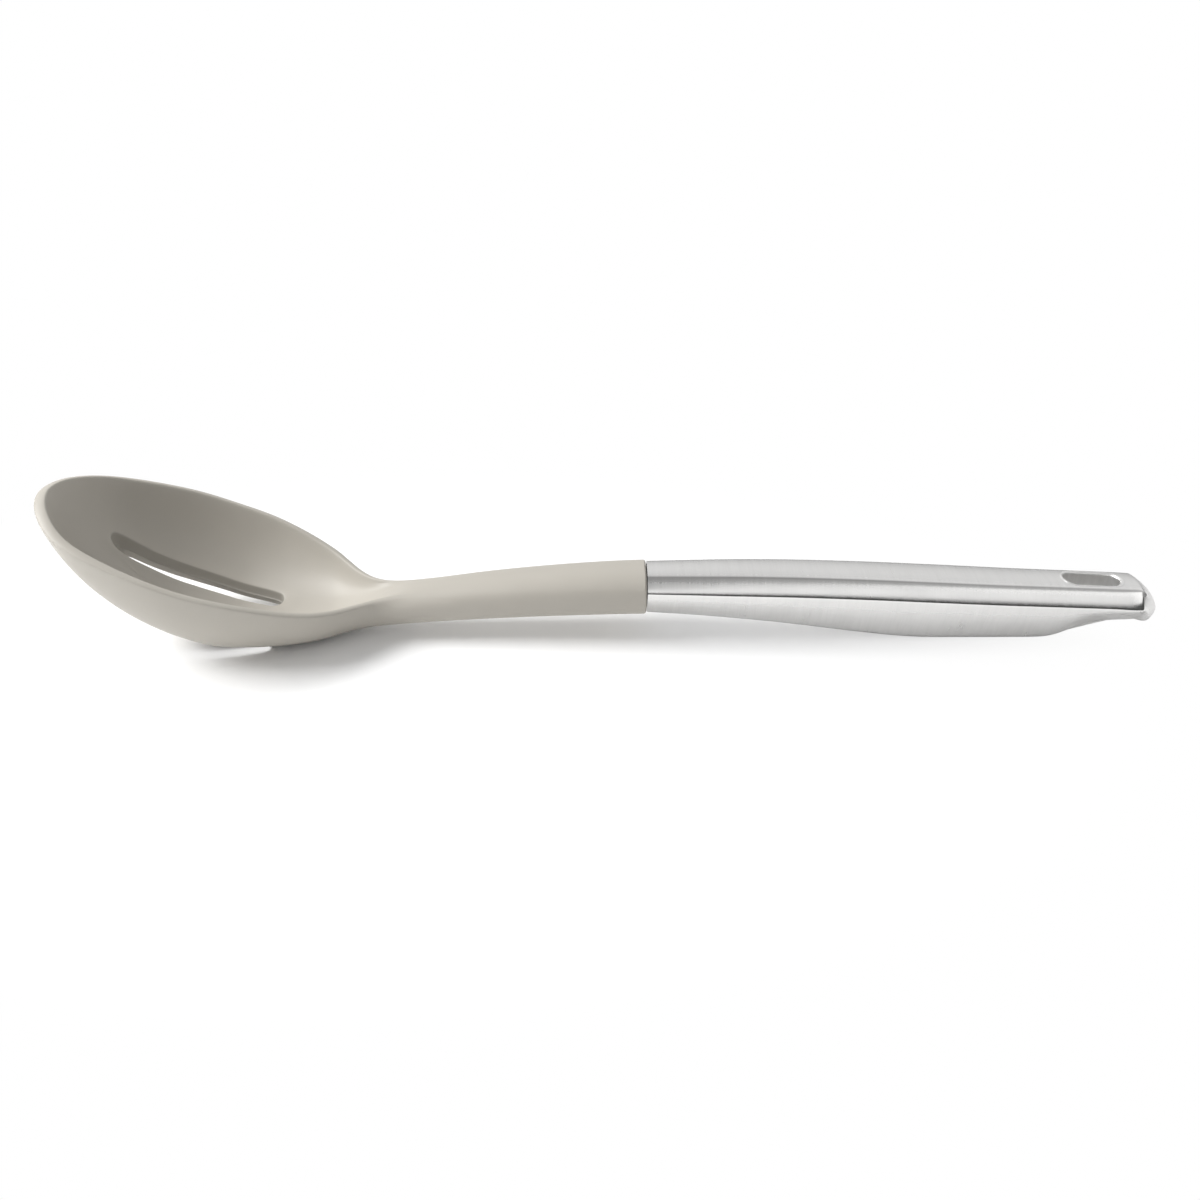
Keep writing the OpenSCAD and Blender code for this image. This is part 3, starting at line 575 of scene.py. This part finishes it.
def lean_feet(uprights, walls, distance):
    """Moves the feet of the slots' walls into the slots, along the outside of the bowl"""
    for edge in uprights:
        foot = min(edge.verts, key=lambda v: v.co.z)
        way = sum((f.normal for f in foot.link_faces if f in walls), Vector()).normalized()
        skin = sum((f.normal for f in foot.link_faces if f not in walls), Vector()).normalized()
        foot.co += distance * (way - Vector((0, 0, skin.dot(way) / skin.z)))


def cut_parting_line(mesh, look):
    """Leans the slots' walls, cuts a line into them, and gives back both their rims and the line"""
    walls = {f for f in mesh.faces if on_slot_wall(f)}
    around = [e for e in mesh.edges if not walls.isdisjoint(e.link_faces)]
    uprights = [e for e in around if walls.issuperset(e.link_faces)]
    rims = [e for e in around if not walls.issuperset(e.link_faces)]
    feet = {min(e.verts, key=lambda v: v.co.z) for e in uprights}
    upper = [e for e in rims if not feet.issuperset(e.verts)]
    lower = [e for e in rims if feet.issuperset(e.verts)]
    lean_feet(uprights, walls, look.draft)
    depths = {e: look.parting_depth if e.verts[0].co.z > e.verts[1].co.z else 1 - look.parting_depth
              for e in uprights}
    made = bmesh.ops.subdivide_edges(mesh, edges=uprights, cuts=1, edge_percents=depths)["geom_inner"]
    middle = {v for v in made if isinstance(v, bmesh.types.BMVert)}
    line = [e for e in made if isinstance(e, bmesh.types.BMEdge) and middle.issuperset(e.verts)]
    return upper, lower, line


def step_in(mesh, ridge, distance):
    """Sets the lower half of a bevelled parting line into the slot, and leaves a small ledge above"""
    mesh.normal_update()
    faces = set(ridge["faces"])
    middle = {v for v in ridge["verts"] if len(v.link_edges) == 4 and faces.issuperset(v.link_faces)}
    lower_half = set(middle)
    for vert in middle:
        neighbours = (e.other_vert(vert) for e in vert.link_edges)
        lower_half.update(n for n in neighbours if n.co.z < vert.co.z)
    for vert in lower_half:
        vert.co += distance * Vector((vert.normal.x, vert.normal.y, 0)).normalized()


class SPOON_OT_make_head(Operator):
    """Makes the nylon head, with rounded slot edges and a fine parting line"""

    bl_idname = "spoon.make_head"
    bl_label = "Nylon Head"

    def execute(self, context):
        look = context.scene.spoon_head_look
        mesh = quads_of("spoon_head")
        upper, lower, line = cut_parting_line(mesh, look)
        if not upper or not lower or not line:
            raise RuntimeError("the head's slots weren't found")
        step_in(mesh, bevelled(mesh, line, PARTING_REACH, segments=2), look.parting_step)
        rounded = bevelled(mesh, upper, look.slot_edge, segments=3)
        # The slots' rounded rims are marked as edges, which the nylon lightens as wear and as a painted
        # highlight
        mark_faces(mesh, "edge", rounded["faces"])
        bevelled(mesh, lower, LOWER_RIM_REACH, segments=2)
        mesh.normal_update()
        # Marks the slots' walls, which the nylon darkens as painted shade
        mark_faces(mesh, "recess", [f for f in mesh.faces if on_slot_wall(f, LEANING_RISE)])
        past_shoulder = [e for e in mesh.edges if e.verts[0].co.x + e.verts[1].co.x > 2 * SHOULDER]
        bevelled(mesh, bent_edges(past_shoulder, SHOULDER_BEND), SHOULDER_REACH, segments=1)
        piece = as_object("nylon_head", mesh)
        subdivide(piece, look.smoothing)
        dress(piece, "spoon_head", nylon(look))
        return {"FINISHED"}


# Steel handle

def section_by(place, whole):
    """The drawn section of the handle next before a place, with math.floor, or after it, with math.ceil"""
    return HANDLE_START + SECTION_STEP * whole((place - HANDLE_START) / SECTION_STEP)


def moved_out(place, distance):
    """A place beside the hang hole, moved straight out from its axis to a distance from its wall"""
    half = (HOLE_LENGTH - HOLE_WIDTH) / 2
    centre = Vector((min(max(place.x, HOLE_MIDDLE - half), HOLE_MIDDLE + half), 0, 0))
    way = Vector((place.x - centre.x, place.y, 0)).normalized()
    return centre + way * (HOLE_WIDTH / 2 + distance)


def on_hole_wall(face):
    """Whether a packed shell's face belongs to the wall that the liner stands in"""
    middle = face.calc_center_median()
    wall = moved_out(middle, LINER_WALL + LINER_GAP)
    return abs(face.normal.z) < UPRIGHT_RISE and (wall.xy - middle.xy).length < LINER_GAP


def outside_of(shell):
    """The outside of one shell, with the place of the hang hole closed again by even quads"""
    mesh = quads_of(SHELL_NODES[shell])
    up = 1 if shell == UPPER_SHELL else -1
    farthest = max(mesh.faces, key=lambda f: up * f.calc_center_median().z)
    outside = reached(farthest, RIM_BEND, on_hole_wall)
    bmesh.ops.delete(mesh, geom=[f for f in mesh.faces if f not in outside], context="FACES")
    reach = HOLE_LENGTH / 2 + LINER_WALL + LINER_GAP
    first = section_by(HOLE_MIDDLE - reach, math.floor)
    last = section_by(HOLE_MIDDLE + reach, math.ceil)

    def in_patch(face):
        middle = face.calc_center_median()
        if not first - PLACE_SLACK < middle.x < last + PLACE_SLACK:
            return False
        return face.normal.z > LEVEL_RISE if shell == UPPER_SHELL else abs(middle.y) < PATCH_HALF_WIDTH

    def on_patch_end(edge):
        one, two = (v.co for v in edge.verts)
        along = any(abs(one.x - x) < PLACE_SLACK and abs(two.x - x) < PLACE_SLACK for x in (first, last))
        return edge.is_boundary and along and abs(one.y - two.y) > PLACE_SLACK

    bmesh.ops.delete(mesh, geom=[f for f in mesh.faces if in_patch(f)], context="FACES")
    bmesh.ops.grid_fill(
        mesh, edges=[e for e in mesh.edges if on_patch_end(e)], mat_nr=0,
        use_smooth=True, use_interp_simple=False)
    for face in mesh.faces:
        face.material_index = shell
    return mesh


def shells_at(edge):
    """The shells whose faces meet at an edge"""
    return {f.material_index for f in edge.link_faces}


def roll_band(skin, seam, look):
    """Cuts two rows into the side bands above the seam, and rolls the bands in towards it"""
    layer = mark_layer(skin, "edge")
    on_seam = points_of(seam)

    def crosses_band(edge):
        upright = sum(v in on_seam for v in edge.verts) == 1 and shells_at(edge) == {UPPER_SHELL}
        before_end = max(v.co.x for v in edge.verts) < ROLL_START + MERGE_GAP
        return upright and before_end and edge.calc_length() > SHORTEST_CUT * look.band_roll

    shares = {}
    for edge in skin.edges:
        if crosses_band(edge):
            share = look.band_roll / edge.calc_length()
            shares[edge] = share if edge.verts[0] in on_seam else 1 - share
    made = bmesh.ops.subdivide_edges(skin, edges=list(shares), cuts=1, edge_percents=shares)
    # A subdivision makes the points that a script holds invalid, so they are read from the seam again
    on_seam = points_of(seam)
    strip = [e for v in made["geom_inner"] if isinstance(v, bmesh.types.BMVert)
             for e in v.link_edges if e.other_vert(v) in on_seam]
    made = bmesh.ops.subdivide_edges(skin, edges=strip, cuts=1)
    halfway = [v for v in made["geom_inner"] if isinstance(v, bmesh.types.BMVert)]
    for vert in halfway:
        vert[layer] = 1.0
    for row, tuck in ((halfway, HALFWAY_TUCK_SHARE * look.band_tuck), (points_of(seam), look.band_tuck)):
        for vert in row:
            fade = min(max((ROLL_START - vert.co.x) / BAND_FADE, 0.0), 1.0)
            vert.co.y -= math.copysign(tuck * fade, vert.co.y)


def handle_skin(look):
    """The outside of the whole handle, with its creases rounded, as one smooth helper object"""
    skin = bmesh.new()
    for shell in (UPPER_SHELL, LOWER_SHELL):
        part = outside_of(shell)
        data = bpy.data.meshes.new("shell outside")
        part.to_mesh(data)
        part.free()
        skin.from_mesh(data)
        bpy.data.meshes.remove(data)
    bmesh.ops.remove_doubles(skin, verts=skin.verts, dist=MERGE_GAP)
    seam = [e for e in skin.edges if len(shells_at(e)) == 2]
    roll_band(skin, seam, look)
    creased = [e for e in seam if e.calc_face_angle() > SEAM_BEND or e.verts[0].co.x < ROLL_START]
    lower = bevelled(skin, creased, look.lower_crease, segments=2)
    facets = [e for e in bent_edges(skin.edges, FACET_BEND) if shells_at(e) == {UPPER_SHELL}]
    upper = bevelled(skin, facets, look.upper_crease, segments=2)
    mark_faces(skin, "edge", [f for f in lower["faces"] + upper["faces"] if f.is_valid])
    helper = as_object("handle skin", skin)
    subdivide(helper, look.smoothing)
    settle(helper)
    return helper


def hole_loop():
    """A bmesh with one closed loop, the hang hole's outline at the table's height"""
    mesh = bmesh.new()
    # The circle is turned by half a step, so that none of its points stands on the line that parts it
    half_step = Matrix.Rotation(math.pi / HOLE_POINTS, 4, "Z")
    made = bmesh.ops.create_circle(
        mesh, cap_ends=False, segments=HOLE_POINTS, radius=HOLE_WIDTH / 2, matrix=half_step)
    for vert in made["verts"]:
        vert.co.x += HOLE_MIDDLE + math.copysign((HOLE_LENGTH - HOLE_WIDTH) / 2, vert.co.x)
    return mesh


def cut_hole(piece):
    """Cuts the place of the liner out of a shell"""
    mesh = hole_loop()
    for vert in mesh.verts:
        vert.co = moved_out(vert.co, LINER_WALL + LINER_GAP)
        vert.co.z = CUTTER_BOTTOM
    floor = bmesh.ops.contextual_create(mesh, geom=list(mesh.edges))["faces"]
    for part in bmesh.ops.extrude_face_region(mesh, geom=floor)["geom"]:
        if isinstance(part, bmesh.types.BMVert):
            part.co.z = CUTTER_TOP
    bmesh.ops.recalc_face_normals(mesh, faces=mesh.faces)
    cutter = as_object("hole cutter", mesh)
    cut = piece.modifiers.new("Hang hole", "BOOLEAN")
    cut.operation = "DIFFERENCE"
    cut.solver = "EXACT"
    cut.object = cutter
    settle(piece)
    remove(cutter)


def add_wall(piece, thickness):
    """Gives a shell's skin its wall, inwards, and a thinner one where the end is drawn round"""
    group = piece.vertex_groups.new(name="sheet")
    for vert in piece.data.vertices:
        drawn = min(max((vert.co.x - ROLL_START) / THINNED_OVER, 0.0), 1.0)
        group.add([vert.index], 1.0 - THINNED_SHARE * drawn, "REPLACE")
    sheet = piece.modifiers.new("Sheet", "SOLIDIFY")
    sheet.thickness = thickness
    sheet.offset = -1.0
    sheet.vertex_group = group.name
    settle(piece)


class SPOON_OT_make_handle(Operator):
    """Makes the two steel shells of the handle, with rounded creases and the hang hole"""

    bl_idname = "spoon.make_handle"
    bl_label = "Steel Handle"

    def execute(self, context):
        look = context.scene.spoon_handle_look
        skin = handle_skin(look)
        for shell, name, slot, steel, tone in (
                (UPPER_SHELL, "upper_shell", "steel_upper", "Upper shell", 1.0),
                (LOWER_SHELL, "lower_shell", "steel_lower", "Lower shell", 0.97)):
            mesh = bmesh.new()
            mesh.from_mesh(skin.data)
            other = [f for f in mesh.faces if f.material_index != shell]
            bmesh.ops.delete(mesh, geom=other, context="FACES")
            piece = as_object(name, mesh)
            add_wall(piece, look.wall)
            cut_hole(piece)
            piece.data.set_sharp_from_angle(angle=SHARP_BEND)
            dress(piece, SHELL_NODES[shell], satin_steel(look, steel, tone))
        remove(skin)
        return {"FINISHED"}


# Liner of the hang hole

def rolled_end(lip):
    """Outline of an end of the liner, up its inside and over its lip: distance out from the hole's wall,
    and rise over the handle's skin"""
    rim = LINER_WALL + LIP_OVERLAP
    return [
        (0, -1.6 * MM), (0, -0.95 * MM), (0.05 * MM, -0.6 * MM), (0.17 * MM, -0.32 * MM),
        (0.37 * MM, -0.08 * MM), (0.62 * MM, 0.6 * lip), (0.88 * MM, lip),
        (LINER_WALL + 0.3 * MM, 0.7 * lip), (rim, -0.02 * MM), (rim, -0.06 * MM), (LINER_WALL, -0.1 * MM)]


def next_loop(mesh, edges):
    """Extrudes a loop of edges, and gives back the new loop"""
    made = bmesh.ops.extrude_edge_only(mesh, edges=edges)["geom"]
    fresh = {g for g in made if isinstance(g, bmesh.types.BMVert)}
    return [g for g in made if isinstance(g, bmesh.types.BMEdge) and fresh.issuperset(g.verts)]


class SPOON_OT_make_liner(Operator):
    """Makes the steel liner of the hang hole, with its rolled lip"""

    bl_idname = "spoon.make_liner"
    bl_label = "Hang Hole Liner"

    def execute(self, context):
        look = context.scene.spoon_handle_look
        skin = handle_skin(look)
        tree = BVHTree.FromPolygons(
            [v.co for v in skin.data.vertices], [p.vertices for p in skin.data.polygons])
        remove(skin)
        end = rolled_end(look.lip)
        rings = [(out, rise, 1) for out, rise in end] + [(out, -rise, -1) for out, rise in reversed(end)]
        mesh = hole_loop()
        first = list(mesh.edges)
        edges = first
        for number, (out, rise, up) in enumerate(rings):
            if number:
                edges = next_loop(mesh, edges)
            for vert in points_of(edges):
                place = moved_out(vert.co, out)
                hit = tree.ray_cast(Vector((place.x, place.y, up * SEARCH_START)), Vector((0, 0, -up)))[0]
                vert.co = Vector((place.x, place.y, hit.z + rise))
        bmesh.ops.bridge_loops(mesh, edges=first + edges)
        bmesh.ops.recalc_face_normals(mesh, faces=mesh.faces)
        piece = as_object("hole_liner", mesh)
        subdivide(piece, levels=1)
        # Painted light: the liner's steel is a lighter copy of the handle's, so that the hang hole's
        # shaded walls read brighter
        steel = satin_steel(look, "Liner steel painted lighter", tone=1.1, roughness=0.4)
        dress(piece, "hang_hole_sleeve", steel)
        return {"FINISHED"}


# Socket inside the handle

class SPOON_OT_dress_socket(Operator):
    """Gives the socket inside the handle its dark moulded plastic"""

    bl_idname = "spoon.dress_socket"
    bl_label = "Tang Socket"

    def execute(self, context):
        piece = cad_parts["tang_socket"]
        piece.data.materials.clear()
        piece.data.materials.append(nylon(context.scene.spoon_head_look, "Socket plastic", tone=0.12))
        return {"FINISHED"}


# Table, light and camera

def lamp(name, power, width, height, place, target):
    """Adds a rectangular area lamp that shines from a place at a target"""
    data = bpy.data.lights.new(name, "AREA")
    data.shape = "RECTANGLE"
    data.size, data.size_y = width, height
    data.energy = power
    light = bpy.data.objects.new(name, data)
    light.location = place
    light.rotation_euler = (Vector(target) - Vector(place)).to_track_quat("-Z", "Y").to_euler()
    bpy.context.scene.collection.objects.link(light)


def greys(tree, height, stops):
    """Greys laid out over a height, each stop a height and its grey"""
    ramp = add(tree, "ShaderNodeValToRGB")
    elements = ramp.color_ramp.elements
    ramp.color_ramp.interpolation = "EASE"
    while len(elements) < len(stops):
        elements.new(0.5)
    for element, (position, grey) in zip(elements, stops):
        element.position = position
        element.color = (grey, grey, grey, 1)
    tree.links.new(height, ramp.inputs["Fac"])
    return ramp.outputs["Color"]


def room(strength):
    """World: white for the camera, and for other rays a light room, dark low down on the camera's side"""
    world = bpy.data.worlds.new("Studio room")
    world.use_nodes = True
    tree = world.node_tree
    tree.nodes.clear()
    way = add(tree, "ShaderNodeSeparateXYZ")
    tree.links.new(add(tree, "ShaderNodeTexCoord").outputs["Generated"], way.inputs["Vector"])
    before = greys(tree, way.outputs["Z"], BEFORE_GREYS)
    behind = greys(tree, way.outputs["Z"], BEHIND_GREYS)
    side = eased(tree, way.outputs["Y"], -ROOM_BLEND, ROOM_BLEND)
    lit = add(tree, "ShaderNodeBackground", Strength=strength)
    tree.links.new(tinted(tree, side, before, behind), lit.inputs["Color"])
    seen = add(tree, "ShaderNodeBackground", Color=(1, 1, 1, 1), Strength=1.0)
    to_camera = add(tree, "ShaderNodeLightPath").outputs["Is Camera Ray"]
    both = blended(tree, to_camera, lit.outputs["Background"], seen.outputs["Background"])
    tree.links.new(both, add(tree, "ShaderNodeOutputWorld").inputs["Surface"])
    bpy.context.scene.world = world


def table_material():
    """Plain white table that keeps the shadow, and runs out into the white background"""
    material, tree, shader, output, place = new_material("Table")
    shader.inputs["Base Color"].default_value = (TABLE_GREY, TABLE_GREY, TABLE_GREY, 1)
    shader.inputs["Roughness"].default_value = 0.9
    shader.inputs["Specular IOR Level"].default_value = 0.0
    distance = add(tree, "ShaderNodeVectorMath", operation="LENGTH")
    tree.links.new(squashed(tree, place, SHADOW_SQUASH, SHADOW_SHIFT), distance.inputs["Vector"])
    white_share = eased(tree, distance.outputs["Value"], SHADOW_CORE, SHADOW_END, LEAST_WHITE)
    to_camera = add(tree, "ShaderNodeLightPath").outputs["Is Camera Ray"]
    factor = maths(tree, "MULTIPLY", white_share, to_camera)
    white = add(tree, "ShaderNodeEmission", Color=(1, 1, 1, 1), Strength=1.0)
    both = blended(tree, factor, shader.outputs["BSDF"], white.outputs["Emission"])
    tree.links.new(both, output.inputs["Surface"])
    return material


class SPOON_OT_make_stage(Operator):
    """Sets up the white table, the soft lamps and the camera"""

    bl_idname = "spoon.make_stage"
    bl_label = "Table, Light and Camera"

    def execute(self, context):
        look = context.scene.spoon_stage_look
        mesh = bmesh.new()
        bmesh.ops.create_grid(mesh, x_segments=8, y_segments=8, size=TABLE_HALF_WIDTH)
        table = as_object("table", mesh)
        table.data.materials.append(table_material())
        lamp("key lamp", look.key_power, **KEY_LAMP)
        lamp("front lamp", look.front_power, **FRONT_LAMP)
        room(look.sky)
        data = bpy.data.cameras.new("camera")
        data.lens = look.lens
        data.sensor_width = SENSOR_WIDTH
        data.clip_start = NEAREST_SEEN
        camera = bpy.data.objects.new("camera", data)
        camera.location = look.eye
        camera.rotation_euler = (math.pi / 2 - look.tilt, 0, 0)
        context.scene.collection.objects.link(camera)
        context.scene.camera = camera
        context.scene.view_settings.view_transform = "Standard"
        return {"FINISHED"}


# Panel and registration

class SPOON_PT_parts(Panel):
    """Lists the operators and the values of the spoon"""

    bl_label = "Slotted Spoon"
    bl_idname = "SPOON_PT_parts"
    bl_space_type = "VIEW_3D"
    bl_region_type = "UI"
    bl_category = "Spoon"

    def draw(self, context):
        scene = context.scene
        for operator in OPERATORS:
            self.layout.operator(operator.bl_idname)
        for title, look in (("Nylon head", scene.spoon_head_look),
                            ("Steel handle", scene.spoon_handle_look),
                            ("Stage", scene.spoon_stage_look)):
            box = self.layout.box()
            box.label(text=title)
            for key in look.__annotations__:
                box.prop(look, key)


OPERATORS = (SPOON_OT_make_stage, SPOON_OT_make_head, SPOON_OT_make_handle, SPOON_OT_make_liner,
             SPOON_OT_dress_socket)
CLASSES = (HeadLook, HandleLook, StageLook, *OPERATORS, SPOON_PT_parts)


def register():
    for cls in CLASSES:
        bpy.utils.register_class(cls)
    bpy.types.Scene.spoon_head_look = PointerProperty(type=HeadLook)
    bpy.types.Scene.spoon_handle_look = PointerProperty(type=HandleLook)
    bpy.types.Scene.spoon_stage_look = PointerProperty(type=StageLook)


def unregister():
    del bpy.types.Scene.spoon_stage_look
    del bpy.types.Scene.spoon_handle_look
    del bpy.types.Scene.spoon_head_look
    for cls in reversed(CLASSES):
        bpy.utils.unregister_class(cls)


def main():
    """Makes the whole spoon and its stage"""
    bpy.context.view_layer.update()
    register()
    bpy.ops.spoon.make_stage()
    bpy.ops.spoon.make_head()
    bpy.ops.spoon.make_handle()
    bpy.ops.spoon.make_liner()
    bpy.ops.spoon.dress_socket()


if __name__ == "__main__":
    main()
